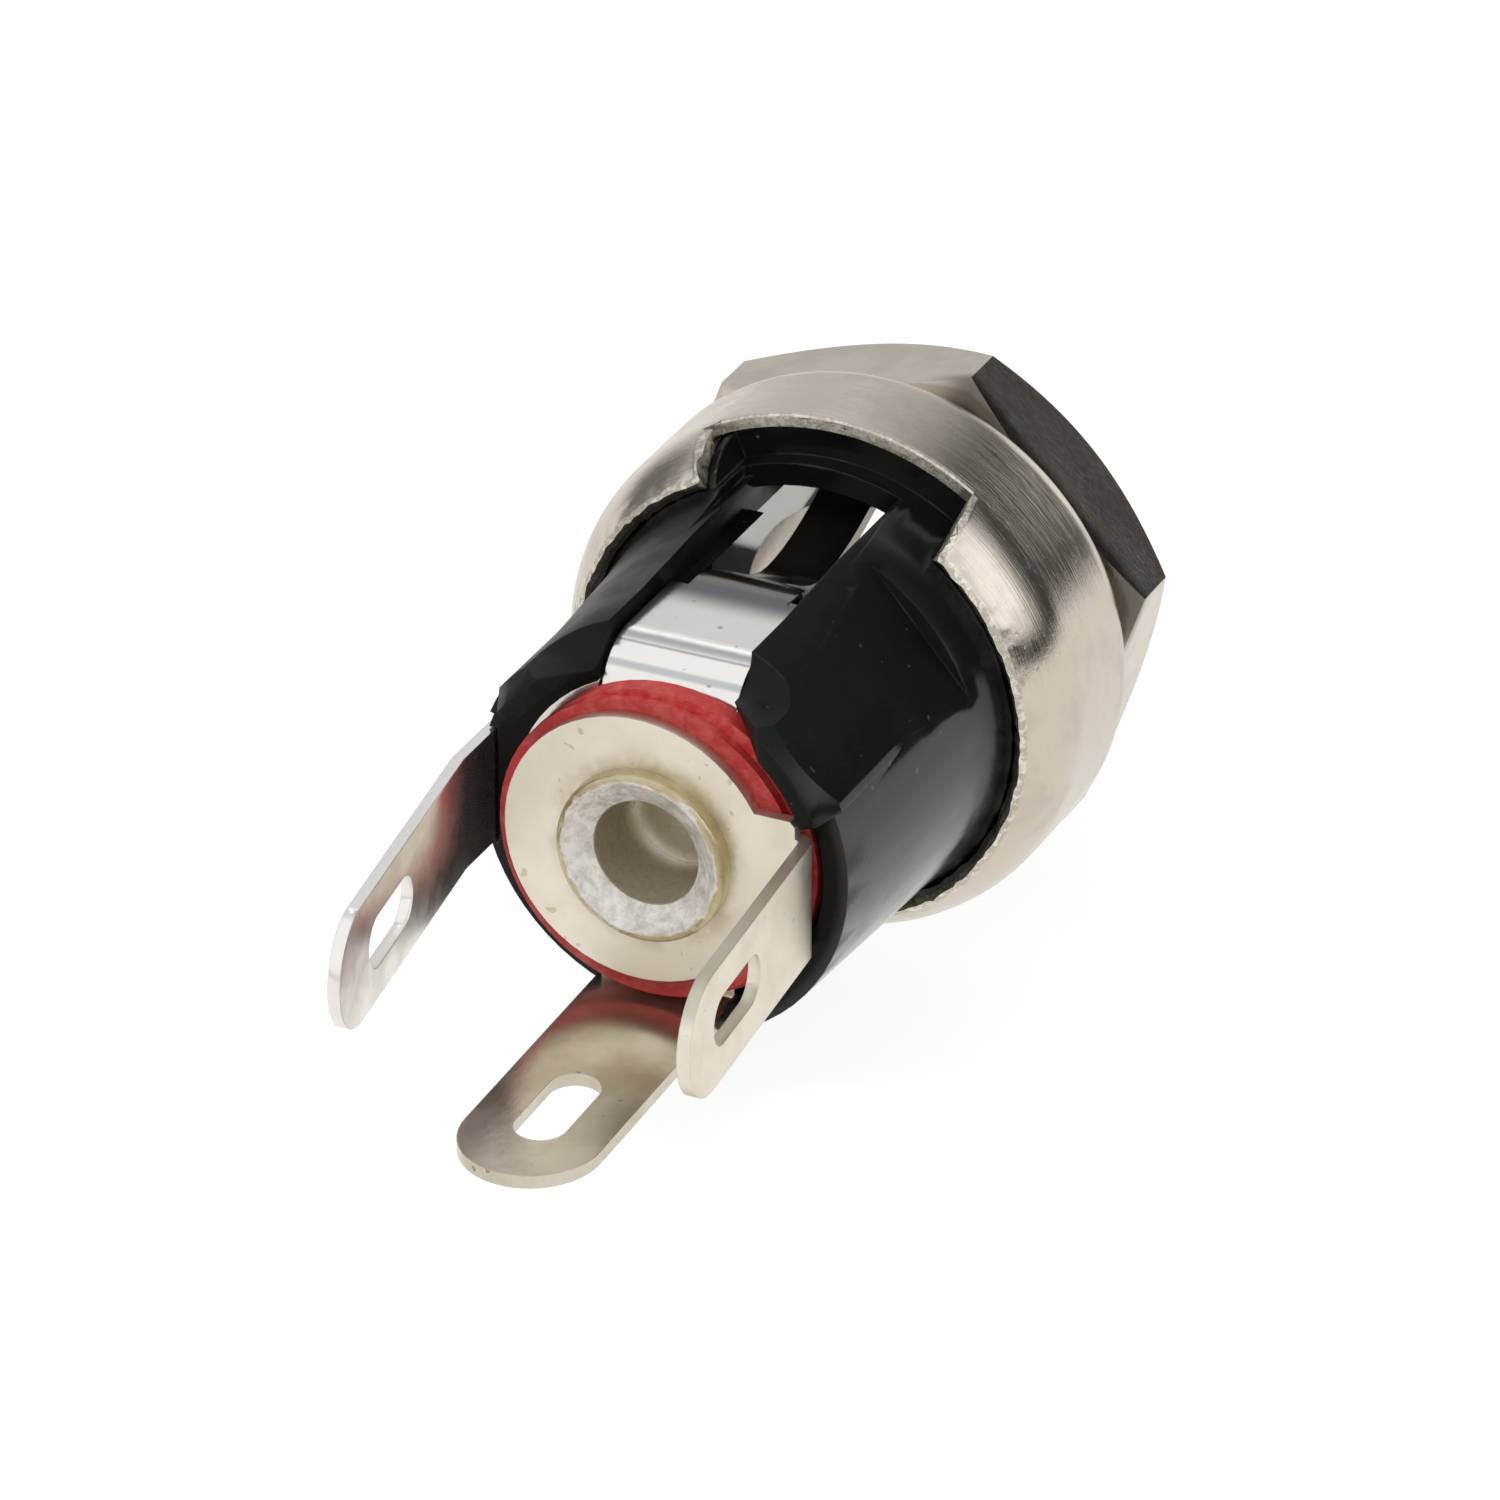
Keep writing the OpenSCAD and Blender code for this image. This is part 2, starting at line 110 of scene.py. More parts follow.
class JackShellSizes(bpy.types.PropertyGroup):
    bore: length("Bore radius", "Radius of the bore that the plug goes into", 3.1 * MM)
    thread_root: length("Thread root", "Radius at the bottom of the bushing's thread", 3.62 * MM)
    thread_crest: length("Thread crest", "Radius at the top of the bushing's thread", 4 * MM)
    thread_pitch: length("Thread pitch", "Distance between two turns of the thread", 0.75 * MM)
    chamfer: length("Mouth chamfer", "Chamfer round the mouth of the bore", 0.3 * MM)
    front_wall: length("Front wall", "Thickness of the shell's front wall", 0.9 * MM)
    front_round: length("Front rounding", "Radius of the shell's front edge", 0.9 * MM)
    wall: length("Side wall", "Thickness of the side wall and crimped lip", 0.3 * MM)
    rim_depth: length("Rim depth", "Depth at which the crimp begins", 3.1 * MM)
    rim_round: length("Rim rounding", "Rounding of the rim inside the notch", 0.06 * MM)
    crimp_radius: length("Crimp radius", "Outer radius of the crimp's bend", 2.44 * MM)
    crimp_angle: angle("Crimp angle", "Angle that the crimp is bent through", 46)
    notch_from: angle("Notch start", "Angle where the uncrimped notch starts", 52)
    notch_to: angle("Notch end", "Angle where the uncrimped notch ends", 116)
    burr: length("Burr", "Height of the burr along the crimped edge", 0.06 * MM)


class JackNutSizes(bpy.types.PropertyGroup):
    across_flats: length("Across flats", "Distance between two opposite flats", 11 * MM)
    seat_radius: length("Seat radius", "Radius of the flat faces left by the chamfers", 5.5 * MM)
    rear_angle: angle("Rear chamfer", "Angle of the chamfer on the shell's side", 25)
    front_angle: angle("Front chamfer", "Angle of the chamfer on the front side", 45)
    bore: length("Bore radius", "Radius of the nut's bore", 3.84 * MM)
    turn: angle("Turn", "Angle of one of the nut's corners", 13)
    edge: length("Edge rounding", "Width of the rounding on the nut's edges", 0.09 * MM)


class JackFinish(bpy.types.PropertyGroup):
    nickel: colour("Nickel", "Warm nickel plating on the shell and the nut", (0.66, 0.605, 0.525))
    nickel_dull: colour("Dull nickel", "Nickel where it is stained or rubbed", (0.50, 0.46, 0.40))
    plastic: colour("Plastic", "Black moulded plastic", (0.0032, 0.0033, 0.0036))
    fibre_dark: colour("Dark fibre", "Vulcanised fibre in its darker places", (0.42, 0.022, 0.020))
    fibre_light: colour("Light fibre", "Vulcanised fibre where it is pale", (0.55, 0.120, 0.110))
    tin: colour("Tin", "Cream tin plating on the ring terminal", (0.88, 0.83, 0.72))
    brass: colour("Tarnished brass", "Rolled band of the rivet", (0.50, 0.42, 0.25))
    bright: colour("Bright sheet", "Polished arm of the spring", (0.88, 0.865, 0.83))
    satin: colour("Satin sheet", "Satin solder lugs", (0.70, 0.66, 0.57))
    sheet_edge: length("Sheared edge", "Rounding of the sheet's sheared edges", 0.03 * MM)
    plastic_edge: length("Moulded edge", "Rounding of the moulded edges", 0.05 * MM)


class JackStudio(bpy.types.PropertyGroup):
    lens: bpy.props.FloatProperty(name="Lens", description="Focal length of the camera", default=216, unit="CAMERA")
    floor_size: length("Floor size", "Side of the pale floor", 3, 0.1, 10)
    lamp: bpy.props.FloatProperty(name="Lamp", description="Power of the soft lamp", default=0.5, unit="POWER")
    room: share("Room", "Brightness of the room behind the jack", 0.36)


# ---------------------------------------------------------------- shading written as sums

class Field:
    """One socket of a node tree, on which sums can be written."""

    def __init__(self, shade, socket):
        self.shade, self.socket = shade, socket

    def _sum(self, operation, first, second):
        return self.shade.node("ShaderNodeMath", {"operation": operation}, {0: first, 1: second})

    def __add__(self, other):
        return self._sum("ADD", self, other)

    def __sub__(self, other):
        return self._sum("SUBTRACT", self, other)

    def __rsub__(self, other):
        return self._sum("SUBTRACT", other, self)

    def __mul__(self, other):
        return self._sum("MULTIPLY", self, other)

    def __pow__(self, other):
        return self._sum("POWER", self, other)

    __radd__, __rmul__ = __add__, __mul__

    def size(self):
        return self.shade.node("ShaderNodeMath", {"operation": "ABSOLUTE"}, {0: self})

    def rise(self, low, high):
        """0 below low, 1 over high, and smooth between them; it falls where low is the higher."""
        return self.shade.node("ShaderNodeMapRange", {"interpolation_type": "SMOOTHSTEP"},
                               {"Value": self, "From Min": low, "From Max": high})


class Shade:
    """A material's or a world's nodes."""

    def __init__(self, owner):
        owner.use_nodes = True
        self.owner, self.tree = owner, owner.node_tree
        self.tree.nodes.clear()

    def node(self, kind, settings=None, values=None, out=0):
        """A new node with its settings, then its values or links, as the Field of one output."""
        made = self.tree.nodes.new(kind)
        for name, value in (settings or {}).items():
            if name == "stops":
                ramp = made.color_ramp
                while len(ramp.elements) < len(value):
                    ramp.elements.new(0.5)
                for element, (place, rgb) in zip(ramp.elements, value):
                    element.position, element.color = place, (*rgb, 1)
            else:
                setattr(made, name, value)
        for name, value in (values or {}).items():
            if isinstance(value, Field):
                self.tree.links.new(value.socket, made.inputs[name])
            else:
                made.inputs[name].default_value = value
        return Field(self, made.outputs[out])

    def parts(self, vector):
        """The x, y and z of a vector."""
        split = self.node("ShaderNodeSeparateXYZ", values={0: vector}).socket.node
        return [Field(self, output) for output in split.outputs]

    def join(self, x, y, z):
        """A vector made of its x, y and z."""
        return self.node("ShaderNodeCombineXYZ", values={0: x, 1: y, 2: z})

    def place(self):
        """The point on the piece in millimetres, as (vector, x, y, z)."""
        spot = self.node("ShaderNodeTexCoord", out="Object")
        spot = self.node("ShaderNodeVectorMath", {"operation": "SCALE"}, {0: spot, "Scale": 1 / MM})
        return (spot, *self.parts(spot))

    def radius(self, x, z):
        """The distance from the jack's axis."""
        return (x * x + z * z) ** 0.5

    def around(self, x, z):
        """The angle about the jack's axis."""
        return self.node("ShaderNodeMath", {"operation": "ARCTAN2"}, {0: z, 1: x})

    def grain(self, vector, scale, detail=3.0, rough=0.55):
        """Noise between 0 and 1."""
        return self.node("ShaderNodeTexNoise",
                         values={"Vector": vector, "Scale": scale, "Detail": detail, "Roughness": rough})

    def mix(self, factor, a, b):
        """Colour a where the factor is 0 and colour b where it is 1."""
        first, second = (c if isinstance(c, Field) else (*c, 1) for c in (a, b))
        return self.node("ShaderNodeMix", {"data_type": "RGBA"}, {0: factor, 6: first, 7: second}, 2)

    def bump(self, height, distance, edge=0.0):
        """A normal pushed about by a height, over edges that look rounded to the radius edge."""
        values = {"Height": height, "Distance": distance, "Strength": 1.0}
        if edge:
            values["Normal"] = self.rounded(edge)
        return self.node("ShaderNodeBump", values=values)

    def rounded(self, edge):
        """The normal of a surface whose edges are rounded to the radius edge."""
        return self.node("ShaderNodeBevel", {"samples": 6}, {"Radius": edge})

    def finish(self, **values):
        """Ends the material with one surface and gives it back."""
        names = {"color": "Base Color", "metal": "Metallic", "rough": "Roughness", "normal": "Normal",
                 "coat": "Coat Weight", "coat_rough": "Coat Roughness", "ior": "IOR",
                 "specular": "Specular IOR Level"}
        surface = self.node("ShaderNodeBsdfPrincipled", values={names[k]: v for k, v in values.items()})
        self.node_out(surface, "ShaderNodeOutputMaterial")
        return self.owner

    def node_out(self, surface, kind):
        """Links a surface to the output node of a material or a world."""
        self.tree.links.new(surface.socket, self.tree.nodes.new(kind).inputs["Surface"])


def new_shade(name):
    return Shade(bpy.data.materials.new(name))


def turned_nickel(finish, sizes):
    """Nickel over turned brass: rings, rubbed patches, long scratches and raw metal on the sheared edges, and a
    painted bright patch on the inner face of the front wall.
    """
    s = new_shade("turned_nickel")
    spot, x, y, z = s.place()
    r, a = s.radius(x, z), s.around(x, z)
    rings = s.grain(s.join(r * 26, y * 26, a * 1.1), 1.0, 4.0, 0.6)
    fine = s.grain(s.join(r * 60, y * 60, a * 3), 1.0, 2.0, 0.5)
    patches = s.grain(spot, 0.55, 4.0, 0.6)
    pits = s.grain(spot, 9.0, 3.0, 0.6)
    scratch = s.grain(s.join(x * 2 + z * 3, y * 9, z * 2 - x * 3), 1.4, 2.0, 0.5).rise(0.66, 0.74)
    dull = patches.rise(0.45, 0.72) * 0.45 + pits.rise(0.62, 0.75) * 0.35
    rough = 0.09 + rings.rise(0.3, 0.7) * 0.1 + patches.rise(0.4, 0.7) * 0.07 + scratch * 0.08
    height = rings * 1.2 + fine * 0.8 + pits * 0.5 - scratch * 0.5
    depth = 0 - y
    lip_end, lip_length, outside, within = 4.86, 1.76, 0.026, 0.014
    free = depth.rise(4.70, 4.78)
    lean = (lip_end - depth) * (1 / lip_length)
    from_end = (a - lean * 0.08 - (sizes.notch_from - 0.014)).size().rise(outside, within)
    to_end = (a - lean * 0.059 - sizes.notch_to).size().rise(outside, within)
    ends = depth.rise(3.12, 3.2) * (from_end + to_end)
    rim = depth.rise(2.98, 3.04) * depth.rise(3.2, 3.15) * (a - 1.0).rise(0.0, 0.03) * (2.05 - a).rise(0.0, 0.03)
    torn = s.grain(spot, 5.0, 4.0, 0.7)
    raw = (free + ends + rim * 0.8) * torn.rise(0.3, 0.5)
    # painted brightness: the inner face of the front wall is painted near-white and not metallic, so that it reads as
    # a lit patch
    inside = depth.rise(0.8, 0.85) * r.rise(5.95, 5.88) * depth.rise(1.2, 1.1)
    base = s.mix(dull, finish.nickel, finish.nickel_dull)
    raw_dark, raw_pale, pale_floor = (0.50, 0.47, 0.38), (0.92, 0.89, 0.78), (0.95, 0.93, 0.88)
    base = s.mix(raw * 0.85, base, s.mix(torn.rise(0.45, 0.6), raw_dark, raw_pale))
    # pale_floor is the painted bright colour of that inner face
    base = s.mix(inside, base, pale_floor)
    return s.finish(color=base, metal=1.0 - inside, rough=rough + raw * 0.28 + inside * 0.4,
                    normal=s.bump(height + raw * torn * 4.0, 0.0035 * MM))


def pressed_nickel(finish):
    """Nickel over a pressed nut: satin flats with small pits and rubbed corners, and painted shade on its rear upper
    right, next to the shell.
    """
    s = new_shade("pressed_nickel")
    spot, x, y, z = s.place()
    grain = s.grain(s.join(x * 5, y * 22, z * 5), 1.0, 4.0, 0.6)
    pits = s.grain(spot, 12.0, 3.0, 0.6)
    clouds = s.grain(spot, 0.8, 3.0, 0.5)
    dull = clouds.rise(0.4, 0.7) * 0.5 + pits.rise(0.6, 0.72) * 0.4
    # painted shade: the nut's rear upper right, next to the shell, is mixed towards near-black
    rear_shade_mask = y.rise(0.75, 0.3) * x.rise(0.5, 2.0) * z.rise(-0.5, 0.8)
    painted_rear_shade = (0.07, 0.062, 0.05)
    base = s.mix(rear_shade_mask * 0.85, s.mix(dull, finish.nickel, finish.nickel_dull), painted_rear_shade)
    return s.finish(color=base, metal=1.0,
                    rough=0.11 + grain.rise(0.3, 0.7) * 0.1 + clouds.rise(0.4, 0.7) * 0.07,
                    normal=s.bump(grain * 0.6 + pits * 0.8, 0.003 * MM))


def moulded_plastic(finish):
    """Black moulded plastic: glossy on the tube and more satin on the ears, with faint moulding grain."""
    s = new_shade("moulded_plastic")
    spot, x, y, z = s.place()
    cloud = s.grain(spot, 0.9, 3.0, 0.55)
    grain = s.grain(spot, 14.0, 3.0, 0.6)
    flow = s.grain(s.join(x * 1.2, y * 0.3, z * 1.2), 1.6, 3.0, 0.5)
    dust = s.grain(spot, 5.5, 0.0, 0.0).rise(0.83, 0.86)
    outer = s.radius(x, z).rise(4.3, 4.6)
    ear = z.rise(2.2, 3.4) * (0 - y).rise(4.9, 5.6)
    satin, rubbed, dusty = (0.0062, 0.0078, 0.0064), (0.055, 0.058, 0.052), (0.12, 0.12, 0.11)
    base = s.mix(ear * 0.8 + cloud.rise(0.5, 0.8) * 0.2, finish.plastic, satin)
    facing = s.node("ShaderNodeNewGeometry", out="True Normal")
    turned = s.node("ShaderNodeVectorMath", {"operation": "DOT_PRODUCT"}, {0: s.rounded(0.08 * MM), 1: facing}, 1)
    corner = turned.rise(0.985, 0.90) * cloud.rise(0.4, 0.7) * outer
    base = s.mix(corner * 0.5, base, rubbed)
    return s.finish(color=s.mix(dust * 0.4, base, dusty),
                    rough=0.20 + ear * 0.14 + cloud.rise(0.35, 0.7) * 0.1, specular=0.12, ior=1.5,
                    coat=(1 - ear) * (x.rise(-1.5, 1.5) * 0.45 + 0.2) * outer, coat_rough=0.16,
                    normal=s.bump(grain * 0.4 + flow * 1.4 + cloud, 0.006 * MM, edge=finish.plastic_edge))


def vulcanised_fibre(finish, name, darker):
    """Red fibre: mottled paper fibres on the faces and layers round the cut rim."""
    s = new_shade(name)
    spot, x, y, z = s.place()
    r, a = s.radius(x, z), s.around(x, z)
    mottle = s.grain(spot, 2.6, 5.0, 0.65)
    layers = s.grain(s.join(a * 6, y * 26, r * 1.5), 1.0, 4.0, 0.6)
    threads = s.grain(s.join(x * 3, y * 8, z * 9), 1.5, 4.0, 0.6)
    pale = mottle.rise(0.42, 0.68) * 0.55 + layers.rise(0.5, 0.72) * 0.35
    base = s.mix(pale, finish.fibre_dark, finish.fibre_light)
    if darker:
        base = s.mix(darker, base, (0.16, 0.008, 0.007))
    return s.finish(color=base, rough=0.48 + mottle.rise(0.3, 0.7) * 0.2,
                    normal=s.bump(layers + threads * 0.8 + mottle * 0.6, 0.018 * MM))


def tinned_sheet(finish):
    """Cream tin on the ring terminal, with faint stains round the rivet, small dents and painted shade on the faces
    turned up or down.
    """
    s = new_shade("tinned_sheet")
    spot, x, _, z = s.place()
    yellowed, brown, painted_edge_shade = (0.80, 0.73, 0.60), (0.50, 0.40, 0.24), (0.42, 0.41, 0.32)
    cloud = s.grain(spot, 0.9, 4.0, 0.6)
    pits = s.grain(spot, 7.0, 3.0, 0.6)
    stain = s.radius(x, z).rise(2.6, 2.05) * s.grain(spot, 1.1, 3.0, 0.6).rise(0.4, 0.65)
    specks = s.grain(spot, 4.2, 0.0, 0.0).rise(0.80, 0.84)
    base = s.mix(cloud.rise(0.35, 0.75) * 0.6, finish.tin, yellowed)
    base = s.mix(stain * 0.5 + specks * 0.5, base, brown)
    # painted shade: faces turned up or down, mostly the sheet's edges, are mixed towards grey-green
    up_or_down = s.parts(s.node("ShaderNodeNewGeometry", out="Normal"))[2]
    base = s.mix(up_or_down.size().rise(0.45, 0.75) * 0.6, base, painted_edge_shade)
    return s.finish(color=base, metal=0.92, rough=0.34 + cloud.rise(0.3, 0.7) * 0.12,
                    normal=s.bump(cloud * 2.0 + pits * 0.5, 0.006 * MM, edge=finish.sheet_edge))


def bright_sheet(finish):
    """Spring sheet: polished where it is the arm, satin and a little yellow where it is the lower lug, with painted
    shade where the arm goes into the housing and painted highlight and reflection lines across its bend.
    """
    s = new_shade("bright_sheet")
    spot, x, y, z = s.place()
    depth = 0 - y
    lug = (0 - z).rise(3.2, 3.7)
    # painted shade: the arm's front, where it goes into the housing, is mixed towards dark brown
    inside = depth.rise(7.9, 7.2)
    shaded = depth.rise(9.0, 8.0) * depth.rise(7.0, 7.8)

    def line(at, half):
        """A line across the top of the arm, at a depth and of a half width, for the painted highlight and painted
        reflection lines on the bend.
        """
        return (y + at).size().rise(half, half * 0.3) * z.rise(2.0, 2.4)

    roll = s.grain(s.join(x * 14, y * 1.2, z * 2), 1.0, 3.0, 0.6)
    cloud = s.grain(spot, 0.8, 4.0, 0.6)
    pits = s.grain(spot, 8.0, 3.0, 0.6)
    specks = s.grain(spot, 4.6, 0.0, 0.0).rise(0.80, 0.84)
    yellowed, brown, blue_grey, glint = (0.60, 0.55, 0.44), (0.10, 0.07, 0.04), (0.10, 0.10, 0.115), (1.0, 1.0, 0.97)
    satin = s.mix(cloud.rise(0.35, 0.7), finish.satin, yellowed)
    base = s.mix(lug, finish.bright, satin)
    # painted shade inside the housing
    base = s.mix(inside * 0.9, base, brown)
    base = s.mix(shaded * 0.92, base, blue_grey)
    # painted reflections: two grey bands across the bend
    base = s.mix(line(10.42, 0.24) * 0.6 + line(11.1, 0.09) * 0.6, base, (0.33, 0.35, 0.38))
    # painted reflection: a thin dark line across the bend
    base = s.mix(line(10.63, 0.05) * 0.5, base, (0.10, 0.10, 0.12))
    # painted highlight: a near-white line across the top of the bend, in the colour glint
    base = s.mix(line(10.12, 0.09) * 0.9, base, glint)
    base = s.mix(specks * 0.6, base, (0.25, 0.2, 0.14))
    return s.finish(color=base, metal=0.97, rough=0.14 + lug * 0.05 + cloud.rise(0.35, 0.7) * 0.07,
                    normal=s.bump(cloud * 1.6 + pits * 0.3 + roll * 0.12, 0.004 * MM, edge=finish.sheet_edge))


def satin_sheet(finish):
    """Plated sheet of the left-hand lug."""
    s = new_shade("satin_sheet")
    spot, x, y, z = s.place()
    cloud = s.grain(spot, 0.9, 4.0, 0.6)
    pits = s.grain(spot, 8.0, 3.0, 0.6)
    roll = s.grain(s.join(x * 2, y * 1.2, z * 14), 1.0, 3.0, 0.6)
    base = s.mix(cloud.rise(0.35, 0.7) * 0.25, (0.94, 0.92, 0.90), finish.satin)
    return s.finish(color=base, metal=0.97, rough=0.18 + cloud.rise(0.35, 0.7) * 0.07,
                    normal=s.bump(cloud * 1.6 + pits * 0.1 + roll * 0.1, 0.004 * MM, edge=finish.sheet_edge))


def rivet_metal(finish):
    """The rivet: tarnished brass on the rolled band, raw bright bevel with tool marks, dull hole."""
    s = new_shade("rivet_metal")
    spot, x, y, z = s.place()
    r, a, depth = s.radius(x, z), s.around(x, z), 0 - y
    rear = depth.rise(10.5, 11.2)
    uneven = s.grain(s.join(x, y * 0.2, z), 1.7, 3.0, 0.6) - 0.5
    bevel = r.rise(1.22, 1.27) * (r + uneven * 0.45).rise(1.92, 1.82) * depth.rise(12.4, 12.5)
    hole = r.rise(1.27, 1.23) * rear
    marks = s.grain(s.join(a * 4, r * 3.2, y * 3.2), 1.0, 5.0, 0.7)
    grit = s.grain(spot, 7.0, 4.0, 0.65)
    cloud = s.grain(spot, 1.3, 4.0, 0.6)
    pale_brass, plated = (0.62, 0.55, 0.38), (0.72, 0.69, 0.62)
    raw_bevel = s.mix(marks.rise(0.35, 0.7), (0.90, 0.88, 0.85), (0.60, 0.57, 0.52))
    dull_hole = s.mix(grit.rise(0.4, 0.7), (0.50, 0.46, 0.34), (0.40, 0.36, 0.25))
    base = s.mix(rear, plated, s.mix(cloud.rise(0.35, 0.7), finish.brass, pale_brass))
    base = s.mix(hole, s.mix(bevel, base, raw_bevel), dull_hole)
    height = marks * (bevel * 2.4 + 0.3) + grit * (bevel * 1.4 + 0.5)
    return s.finish(color=base, metal=1.0 - hole * 0.45,
                    rough=0.24 + bevel * 0.22 + hole * 0.35 + cloud.rise(0.4, 0.7) * 0.1,
                    normal=s.bump(height, 0.014 * MM, edge=finish.sheet_edge))


# ---------------------------------------------------------------- modelling helpers

def deselect():
    """Leaves edit mode and selects nothing."""
    if bpy.context.object and bpy.context.object.mode != "OBJECT":
        bpy.ops.object.mode_set(mode="OBJECT")
    bpy.ops.object.select_all(action="DESELECT")


def choose(*objects):
    """Selects only these objects and makes the first one active."""
    deselect()
    for one in objects:
        one.select_set(True)
    bpy.context.view_layer.objects.active = objects[0]


def pick(piece, wanted):
    """Selects, in edit mode, the vertices that wanted(place) accepts."""
    bpy.ops.mesh.select_all(action="DESELECT")
    mesh = bmesh.from_edit_mesh(piece.data)
    for v in mesh.verts:
        v.select = wanted(v.co)
    mesh.select_flush_mode()
    bmesh.update_edit_mesh(piece.data)


def close_up(piece, angle_limit=35, flats=False):
    """Merges doubles, turns the faces outwards and shades smooth up to an angle, keeping large flats flat."""
    choose(piece)
    bpy.ops.object.mode_set(mode="EDIT")
    bpy.ops.mesh.select_all(action="SELECT")
    bpy.ops.mesh.remove_doubles(threshold=SAME_PLACE)
    bpy.ops.mesh.normals_make_consistent(inside=False)
    bpy.ops.object.mode_set(mode="OBJECT")
    bpy.ops.object.shade_smooth_by_angle(angle=math.radians(angle_limit))
    if flats:
        even = piece.modifiers.new("even", "WEIGHTED_NORMAL")
        even.weight, even.keep_sharp = 100, True
        bpy.ops.object.modifier_apply(modifier=even.name)


def trace(name, points):
    """A new object with a line drawn through the points, left in edit mode."""
    deselect()
    bpy.ops.mesh.primitive_plane_add(size=MM, location=(0, 0, 0))
    piece = bpy.context.object
    piece.name = piece.data.name = name
    bpy.ops.object.mode_set(mode="EDIT")
    bpy.ops.mesh.merge(type="CENTER")
    bpy.ops.transform.translate(value=points[0])
    for before, after in zip(points, points[1:]):
        bpy.ops.mesh.extrude_region_move(TRANSFORM_OT_translate={"value": after - before})
    return piece


def turn(name, outline, steps=192, start=0.0, sweep=FULL_TURN):
    """Turns a closed outline of (radius, y) about the jack's axis, from the angle start through sweep."""
    points = [Vector((r * math.cos(start), y, r * math.sin(start))) for r, y in outline]
    piece = trace(name, points)
    pick(piece, lambda co: min((co - points[0]).length, (co - points[-1]).length) < 1e-8)
    bpy.ops.mesh.edge_face_add()
    bpy.ops.mesh.select_all(action="SELECT")
    whole = sweep == FULL_TURN
    if not whole:
        bpy.ops.mesh.edge_face_add()
    bpy.ops.mesh.spin(steps=steps, angle=sweep, center=(0, 0, 0), axis=(0, 1, 0), use_auto_merge=whole)
    if not whole:
        bpy.ops.mesh.select_all(action="SELECT")
        bpy.ops.mesh.remove_doubles(threshold=SAME_PLACE)
    bpy.ops.object.mode_set(mode="OBJECT")
    return piece


def arc(cx, cy, r, a0, a1, steps=12):
    """Points of an arc, angles in degrees."""
    angles = [math.radians(a0 + (a1 - a0) * i / steps) for i in range(steps + 1)]
    return [(cx + r * math.cos(a), cy + r * math.sin(a)) for a in angles]


def combine(piece, tool, operation):
    """Applies a boolean of the tool, which is then deleted."""
    choose(piece)
    cut = piece.modifiers.new("cut", "BOOLEAN")
    cut.operation, cut.solver, cut.object = operation, "EXACT", tool
    bpy.ops.object.modifier_apply(modifier=cut.name)
    bpy.data.objects.remove(tool)


def round_edges(piece, width, limit):
    """Rounds the edges that are sharper than the limit in degrees."""
    choose(piece)
    bevel = piece.modifiers.new("rounding", "BEVEL")
    bevel.width, bevel.segments = width, 2
    bevel.limit_method, bevel.angle_limit = "ANGLE", math.radians(limit)
    bevel.use_clamp_overlap, bevel.harden_normals = True, False
    bpy.ops.object.modifier_apply(modifier=bevel.name)


def doubled(node, name):
    """A copy of a solid's mesh with its doubles merged and its flat faces joined up again."""
    choose(frame["nodes"][node])
    bpy.ops.object.duplicate()
    piece = bpy.context.object
    piece.name = piece.data.name = name
    bpy.ops.object.parent_clear(type="CLEAR_KEEP_TRANSFORM")
    bpy.ops.object.transform_apply(location=True, rotation=True, scale=True)
    bpy.ops.mesh.customdata_custom_splitnormals_clear()
    bpy.ops.object.mode_set(mode="EDIT")
    bpy.ops.mesh.select_all(action="SELECT")
    bpy.ops.mesh.remove_doubles(threshold=2 * SAME_PLACE)
    bpy.ops.mesh.dissolve_limited(angle_limit=math.radians(0.5))
    bpy.ops.object.mode_set(mode="OBJECT")
    return piece


def wear(piece, material):
    """Gives a piece its one material."""
    piece.data.materials.clear()
    piece.data.materials.append(material)


def aim(thing, way):
    """Turns a lamp or the camera to look along a direction."""
    thing.rotation_euler = way.to_track_quat("-Z", "Y").to_euler()


def settle(piece, material, node):
    """The piece takes its material, rides with the jack and stands for its CAD node."""
    wear(piece, material)
    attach(piece, "root")
    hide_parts(node)


# ---------------------------------------------------------------- operators, one for each piece or group

